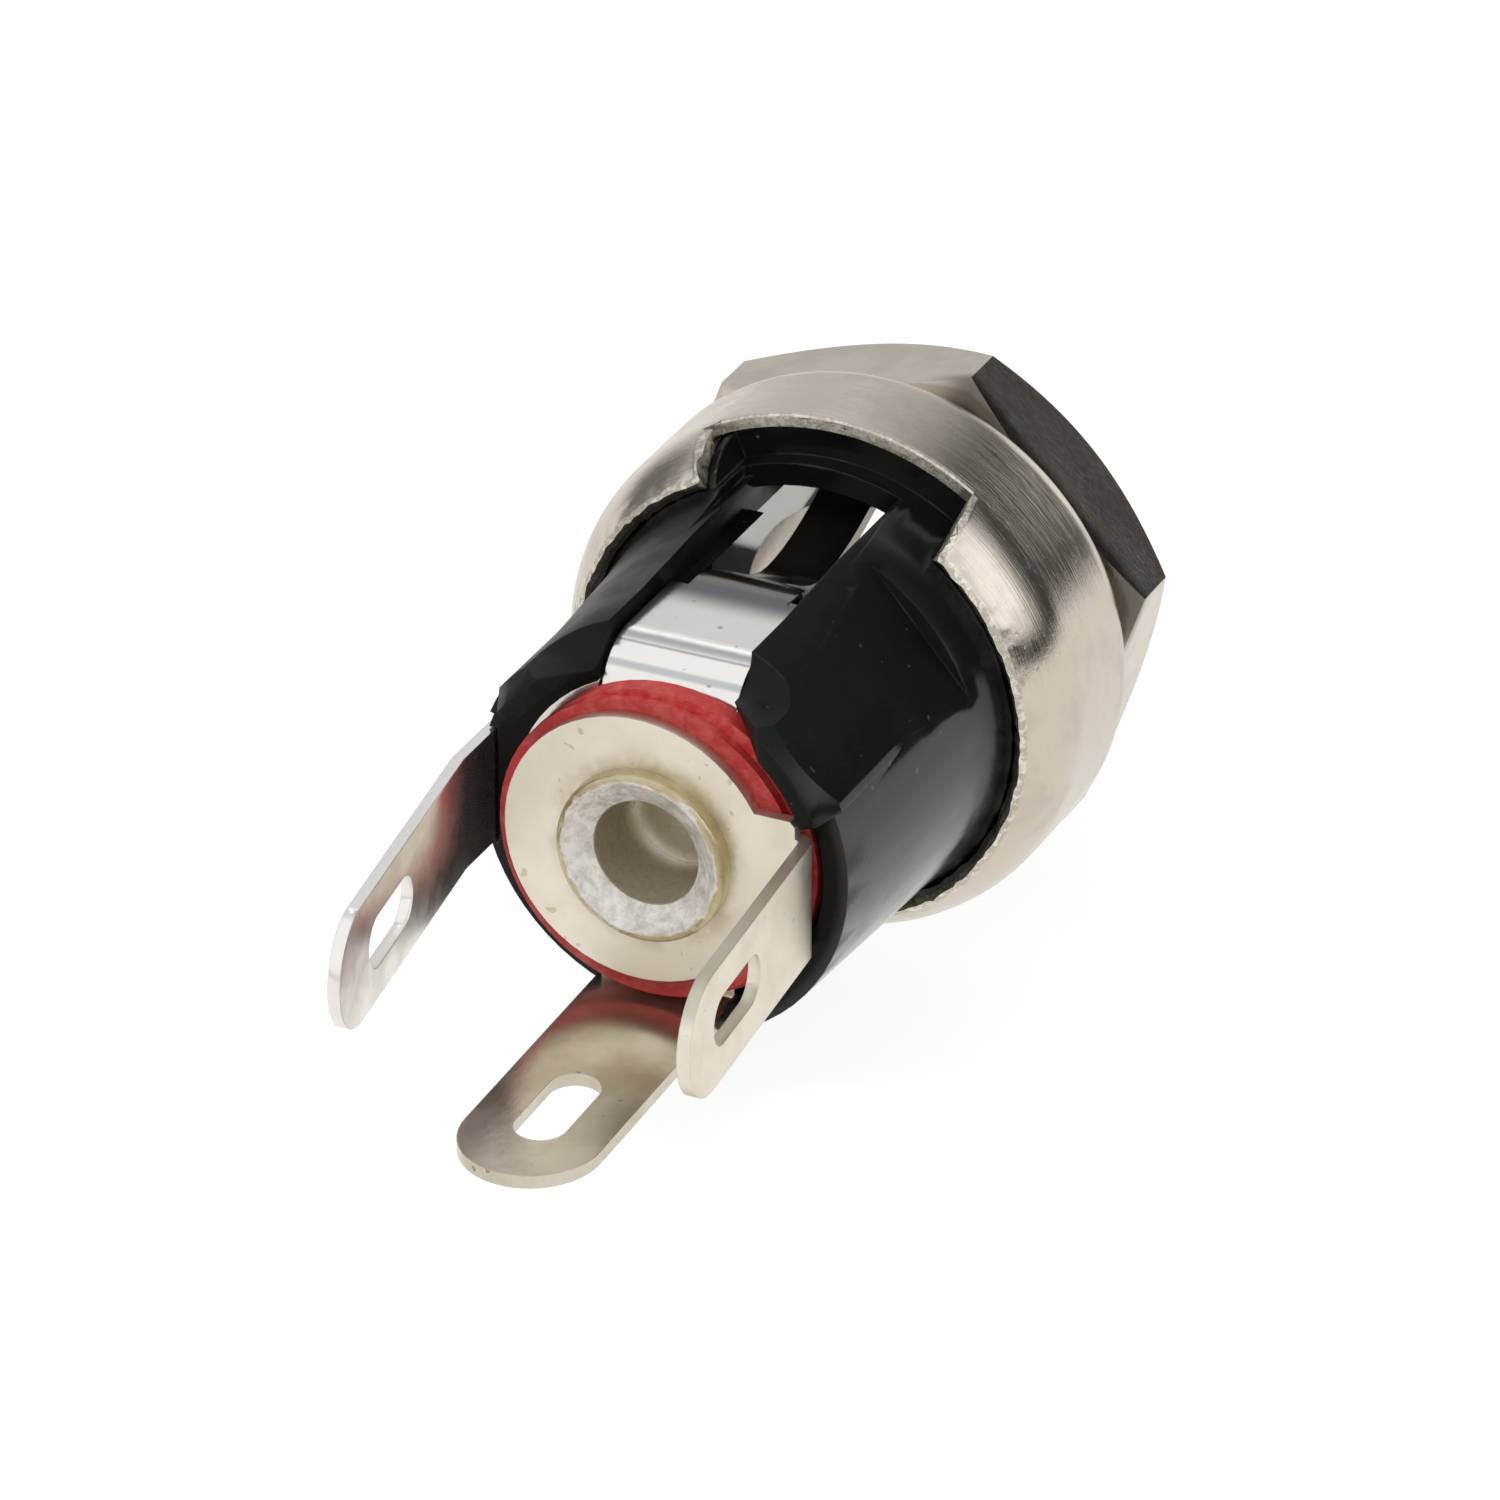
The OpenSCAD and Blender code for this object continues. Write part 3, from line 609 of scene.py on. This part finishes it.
class JACK_OT_shell(bpy.types.Operator):
    """Make the plated bushing and cup, with its thread, its crimped lip and the burr along it"""
    bl_idname = "jack.shell"
    bl_label = "Bushing and shell"

    def execute(self, context):
        g = context.scene.jack_shell
        material = turned_nickel(context.scene.jack_finish, g)
        front, big = SHELL_FRONT, SHELL_RADIUS
        rim_front = g.rim_depth - g.rim_round
        outline = [(g.bore, front - g.chamfer), (g.bore + g.chamfer * 0.7, front)]
        outline += [(g.thread_root - g.chamfer * 0.5, front), (g.thread_root, front - g.chamfer)]
        outline += [(g.thread_root, 0.3 * MM), (g.thread_root + 0.1 * MM, 0.0)]
        outline += [(r, -y) for r, y in arc(big - g.front_round, g.front_round, g.front_round, -90, 0, 14)]
        # the cup steps in a hair under the lip, so that their faces never share a place
        step, lip_front, step_front = 0.005 * MM, 0.06 * MM - rim_front, 0.056 * MM - rim_front
        outline += [(big, lip_front), (big - step, step_front)]
        outline += [(r - step, -y) for r, y in arc(big - g.rim_round, rim_front, g.rim_round, 0, 90, 6)]
        outline += [(big - g.wall, -g.rim_depth), (big - g.wall, -g.front_wall), (g.bore, -g.front_wall)]
        shell = turn("shell", outline)
        close_up(shell)

        centre = big - g.crimp_radius
        bend = math.degrees(g.crimp_angle)
        lip_outline = [(big - g.wall, lip_front), (big, lip_front)]
        lip_outline += [(r, -y) for r, y in arc(centre, g.rim_depth, g.crimp_radius, 0, bend, 16)]
        lip_outline += [(r, -y) for r, y in arc(centre, g.rim_depth, g.crimp_radius - g.wall, bend, 0, 16)]
        sweep = FULL_TURN - (g.notch_to - g.notch_from)
        lip = turn("lip", lip_outline, 168, g.notch_to, sweep)
        self.burr(lip, g)
        close_up(lip, 40)

        ridge = self.thread(g, front)
        choose(shell, lip, ridge)
        bpy.ops.object.join()
        settle(shell, material, "bushing_shell")
        return {"FINISHED"}

    def burr(self, lip, g):
        """Slants the lip's two ends and pulls them and its free edge about a little, as shears leave them."""
        noise.seed_set(BURR_SEED)
        reach = 0.35    # the angle over which an end leans
        edge = -(g.rim_depth + (g.crimp_radius - g.wall) * math.sin(g.crimp_angle)) + 0.12 * MM
        low = -(g.rim_depth + g.crimp_radius * math.sin(g.crimp_angle))
        for v in lip.data.vertices:
            around = math.atan2(v.co.z, v.co.x) % FULL_TURN
            slant = max(0.0, (v.co.y - low) / (-g.rim_depth - low)) ** 0.7
            near_from = max(0.0, 1 - ((g.notch_from - around) % FULL_TURN) / reach)
            near_to = max(0.0, 1 - ((around - g.notch_to) % FULL_TURN) / reach)
            shift = near_from * math.radians(4.6 * slant - 0.8) + near_to * math.radians(3.4 * slant)
            cos, sin = math.cos(shift), math.sin(shift)
            v.co = Vector((v.co.x * cos - v.co.z * sin, v.co.y, v.co.x * sin + v.co.z * cos))
            end = max(near_from, near_to) > 0.97 and v.co.y < -g.rim_depth
            if v.co.y < edge or end:
                waves, share_of_burr = (3.2, 0.6) if end else (4.5, 1.0)
                push = noise.noise_vector(v.co / MM * waves) * g.burr * share_of_burr
                push.y = -abs(push.y) * 0.6
                v.co += push

    def thread(self, g, front):
        """A ridge screwed along the bushing, faded out at the front; its start is under the nut."""
        start, foot, crest = 0.4 * MM, g.thread_pitch * 0.46, g.thread_pitch * 0.05
        sunk, fade, end = g.thread_root - 0.08 * MM, 0.35 * MM, front - 0.12 * MM
        ridge = trace("thread_ridge", [
            Vector((sunk, start - foot, 0)), Vector((g.thread_crest, start - crest, 0)),
            Vector((g.thread_crest, start + crest, 0)), Vector((sunk, start + foot, 0))])
        bpy.ops.mesh.select_all(action="SELECT")
        bpy.ops.mesh.edge_face_add()
        bpy.ops.object.mode_set(mode="OBJECT")
        turns = math.ceil((front - start) / g.thread_pitch)
        screw = ridge.modifiers.new("screw", "SCREW")
        screw.axis, screw.screw_offset, screw.iterations = "Y", g.thread_pitch, turns
        screw.steps = screw.render_steps = 72
        bpy.ops.object.modifier_apply(modifier=screw.name)
        for v in ridge.data.vertices:
            r = math.hypot(v.co.x, v.co.z)
            room = min(1.0, max(0.0, (end - v.co.y) / fade))
            wanted = min(r, sunk + (g.thread_crest - sunk) * room)
            v.co.x, v.co.z = v.co.x * wanted / r, v.co.z * wanted / r
            v.co.y = min(v.co.y, front - 0.06 * MM)
        close_up(ridge, 20)
        return ridge


class JACK_OT_nut(bpy.types.Operator):
    """Make the hexagonal nut with its two chamfers, bore and rounded edges"""
    bl_idname = "jack.nut"
    bl_label = "Hexagonal nut"

    def execute(self, context):
        g = context.scene.jack_nut
        corner = g.across_flats / 2 / math.cos(math.radians(30))
        deselect()
        half, pilot, inner, steps = NUT_HEIGHT / 2, 0.5 * MM, 0.2 * MM, 144
        bpy.ops.mesh.primitive_cylinder_add(vertices=6, radius=corner, depth=NUT_HEIGHT, location=(0, half, 0),
                                            rotation=(math.pi / 2, 0, 0))
        nut = bpy.context.object
        nut.name = nut.data.name = "nut"
        bpy.ops.object.transform_apply(location=True, rotation=True, scale=True)
        first = nut.data.vertices[0].co
        nut.rotation_euler.y = math.atan2(first.z, first.x) - g.turn
        bpy.ops.object.transform_apply(location=True, rotation=True, scale=True)
        gauge = turn("gauge", [
            (pilot, 0), (g.seat_radius, 0),
            (g.seat_radius + half / math.tan(g.rear_angle), half),
            (g.seat_radius + half / math.tan(g.front_angle), half),
            (g.seat_radius, NUT_HEIGHT), (pilot, NUT_HEIGHT)], steps)
        close_up(gauge)
        combine(nut, gauge, "INTERSECT")
        above = NUT_HEIGHT + MM
        bore = turn("bore", [(inner, -MM), (g.bore, -MM), (g.bore, above), (inner, above)], steps)
        close_up(bore)
        combine(nut, bore, "DIFFERENCE")
        round_edges(nut, g.edge, 20)
        close_up(nut, 30, True)
        settle(nut, pressed_nickel(context.scene.jack_finish), "hex_nut")
        return {"FINISHED"}


class JACK_OT_contacts(bpy.types.Operator):
    """Make the three sheet contacts with their edges rounded as sheared and rolled sheet has them"""
    bl_idname = "jack.contacts"
    bl_label = "Contacts"

    def execute(self, context):
        f = context.scene.jack_finish
        for node, name, slot, material in (("pin_terminal", "ring_lug", "tinned_terminal", tinned_sheet(f)),
                                           ("sleeve_contact", "spring_lug", "bright_contact", bright_sheet(f)),
                                           ("shunt_contact", "side_lug", "satin_contact", satin_sheet(f))):
            piece = doubled(node, name)
            if node == "sleeve_contact":
                self.narrow_tongue(piece)
            round_edges(piece, f.sheet_edge, 50)
            close_up(piece, 40, True)
            settle(piece, material, node)
        return {"FINISHED"}

    def narrow_tongue(self, piece):
        """Makes the front of the spring's arm narrower, a little to the left of the axis."""
        tongue_rear, share_kept, middle = -6.9 * MM, 0.56, -0.4 * MM
        bpy.ops.object.mode_set(mode="EDIT")
        pick(piece, lambda co: co.y > tongue_rear and co.z > 0)
        bpy.ops.transform.resize(value=(share_kept, 1, 1), center_override=(middle, 0, 0))
        bpy.ops.object.mode_set(mode="OBJECT")


class JACK_OT_housing(bpy.types.Operator):
    """Make the moulded housing with its edges rounded"""
    bl_idname = "jack.housing"
    bl_label = "Moulded housing"

    def execute(self, context):
        f = context.scene.jack_finish
        piece = doubled("housing", "moulding")
        round_edges(piece, f.plastic_edge * 0.8, 35)
        close_up(piece, 26, True)
        settle(piece, moulded_plastic(f), "housing")
        return {"FINISHED"}


class JACK_OT_finishes(bpy.types.Operator):
    """Give the rivet and the two fibre washers their finishes"""
    bl_idname = "jack.finishes"
    bl_label = "Rivet and washers"

    def execute(self, context):
        f, nodes = context.scene.jack_finish, frame["nodes"]
        wear(nodes["centre_pin"], rivet_metal(f))
        wear(nodes["rear_fibre_washer"], vulcanised_fibre(f, "rear_fibre", 0.2))
        wear(nodes["front_fibre_washer"], vulcanised_fibre(f, "front_fibre", 0.0))
        return {"FINISHED"}


class JACK_OT_stage(bpy.types.Operator):
    """Set up the pale floor, the soft room, the lamp and the camera"""
    bl_idname = "jack.stage"
    bl_label = "Floor, lights and camera"

    def execute(self, context):
        scene, g = context.scene, context.scene.jack_studio
        self.floor(g)
        self.room(scene, g)
        self.soft_lamp(g)
        self.window_glint()
        bpy.ops.object.camera_add(location=(0.07453, -0.16523, 0.09533))
        camera = bpy.context.object
        aim(camera, Vector((-0.3745, 0.7937, -0.4794)))
        camera.data.lens, camera.data.sensor_width = g.lens, 36
        camera.data.clip_start, camera.data.clip_end = 0.01, 10
        scene.camera = camera
        scene.view_settings.view_transform = "Standard"
        return {"FINISHED"}

    def floor(self, g):
        """The floor under the jack's lowest point."""
        deselect()
        bpy.ops.mesh.primitive_plane_add(size=g.floor_size, location=(0, 0, CAD_BOX[0].z))
        floor = bpy.context.object
        floor.name = "floor"
        wear(floor, self.floor_material())

    def soft_lamp(self, g):
        """A wide lamp over the left shoulder, which isn't seen in the metal."""
        bpy.ops.object.light_add(type="AREA", location=(-0.11, -0.20, 0.26))
        lamp = bpy.context.object
        lamp.name, lamp.data.energy, lamp.data.shape, lamp.data.size = "soft_lamp", g.lamp, "DISK", 0.16
        aim(lamp, Vector((0, -0.008, 0)) - lamp.location)
        lamp.visible_glossy = False

    def window_glint(self):
        """A narrow beam that lights the shell's floor through the housing's window."""
        seat, towards = Vector((-0.0027, -0.0009, 0.0025)), Vector((0.40, -0.84, 0.37)).normalized()
        bpy.ops.object.light_add(type="SPOT", location=seat + towards * 0.07)
        glint = bpy.context.object
        glint.name, glint.data.energy = "window_glint", 0.3
        glint.data.spot_size, glint.data.spot_blend = math.radians(2.2), 0.5
        glint.data.shadow_soft_size, glint.visible_glossy = 0.002, False
        aim(glint, -towards)

    def floor_material(self):
        """A pale floor that is white to the eye and in reflections, and still takes the jack's shadow."""
        s = new_shade("pale_floor")
        seen = s.node("ShaderNodeLightPath", out="Is Camera Ray")
        mirrored = (s.node("ShaderNodeLightPath", out="Is Glossy Ray")
                    + s.node("ShaderNodeLightPath", out="Is Transmission Ray"))
        cloth = s.node("ShaderNodeBsdfDiffuse", values={"Color": (0.8, 0.8, 0.8, 1)})
        pale = s.node("ShaderNodeBsdfDiffuse", values={"Color": (0.16, 0.16, 0.16, 1)})
        glow = s.node("ShaderNodeEmission", values={"Color": (1, 1, 1, 1), "Strength": 0.9})
        shown = s.node("ShaderNodeAddShader", values={0: pale, 1: glow})
        mirror = s.node("ShaderNodeEmission", values={"Color": (1.0, 0.985, 0.95, 1), "Strength": 0.93})
        surface = s.node("ShaderNodeMixShader", values={0: seen, 1: cloth, 2: shown})
        surface = s.node("ShaderNodeMixShader", values={0: mirrored, 1: surface, 2: mirror})
        s.node_out(surface, "ShaderNodeOutputMaterial")
        return s.owner

    def room(self, scene, g):
        """A pale room: white to the eye, with a soft window on the right and shaded corners for the metal to show."""
        scene.world = bpy.data.worlds.new("pale_room")
        s = Shade(scene.world)
        way = s.node("ShaderNodeTexCoord", out="Generated")
        x, y, z = s.parts(way)

        def patch(direction, inner, outer):
            """1 within inner degrees of a direction and 0 beyond outer degrees."""
            towards = Vector(direction).normalized()
            near = s.node("ShaderNodeVectorMath", {"operation": "DOT_PRODUCT"}, {0: way, 1: towards}, 1)
            return near.rise(math.cos(math.radians(outer)), math.cos(math.radians(inner)))

        behind = y.rise(0.25, 0.75)
        sky = (1 - behind) * 0.96 + behind * g.room
        level = z.rise(-0.10, -0.04) * (sky - 0.93) + 0.93
        level = level * (1 - z.size().rise(0.14, 0.05) * (1 - behind) * 0.45)
        for amount, where in (
            (0.66, patch((-0.52, 0.79, 0.32), 16, 38)),                         # far wall on the left
            (0.07, patch((0.58, 0.76, 0.28), 20, 42)),                          # dark far wall on the right
            (0.05, (z + 0.02).size().rise(0.25, 0.13) * x.rise(0.6, 0.8)),      # dark skirting on the right
            (1.45, patch((0.82, -0.08, 0.52), 12, 25)),                         # window on the right
            (0.20, patch((-0.96, 0.22, 0.12), 12, 27)),                         # dark corner on the left
            (1.35, patch((-0.37, 0.66, 0.65), 3, 8)),                           # small pane, far and high
            (1.25, patch((0.18, 0.96, 0.12), 6, 15)),                           # small pane, far and low
        ):
            level = level * (1 - where) + where * amount
        tint = s.mix(z.rise(-0.1, 0.4), (1.0, 0.985, 0.95), (0.99, 0.99, 1.0))
        lit = s.node("ShaderNodeBackground", values={"Color": tint, "Strength": level})
        plain = s.node("ShaderNodeBackground", values={"Color": (1, 1, 1, 1), "Strength": 1.0})
        seen = s.node("ShaderNodeLightPath", out="Is Camera Ray")
        s.node_out(s.node("ShaderNodeMixShader", values={0: seen, 1: lit, 2: plain}), "ShaderNodeOutputWorld")


class JACK_PT_panel(bpy.types.Panel):
    """Lists the jack's steps and sizes"""
    bl_idname = "JACK_PT_panel"
    bl_label = "DC barrel jack"
    bl_space_type = "VIEW_3D"
    bl_region_type = "UI"
    bl_category = "Jack"

    def draw(self, context):
        for step in STEPS:
            self.layout.operator(step.bl_idname)
        for name, group in GROUPS.items():
            box = self.layout.box()
            for field in group.__annotations__:
                box.prop(getattr(context.scene, name), field)


STEPS = (JACK_OT_shell, JACK_OT_nut, JACK_OT_contacts, JACK_OT_housing, JACK_OT_finishes, JACK_OT_stage)
GROUPS = {"jack_shell": JackShellSizes, "jack_nut": JackNutSizes, "jack_finish": JackFinish,
          "jack_studio": JackStudio}


def register():
    for one in (*GROUPS.values(), *STEPS, JACK_PT_panel):
        bpy.utils.register_class(one)
    for name, group in GROUPS.items():
        setattr(bpy.types.Scene, name, bpy.props.PointerProperty(type=group))


def unregister():
    for name in GROUPS:
        delattr(bpy.types.Scene, name)
    for one in reversed((*GROUPS.values(), *STEPS, JACK_PT_panel)):
        bpy.utils.unregister_class(one)


def main():
    register()
    bpy.ops.jack.shell()
    bpy.ops.jack.nut()
    bpy.ops.jack.contacts()
    bpy.ops.jack.housing()
    bpy.ops.jack.finishes()
    bpy.ops.jack.stage()


if __name__ == "__main__":
    main()
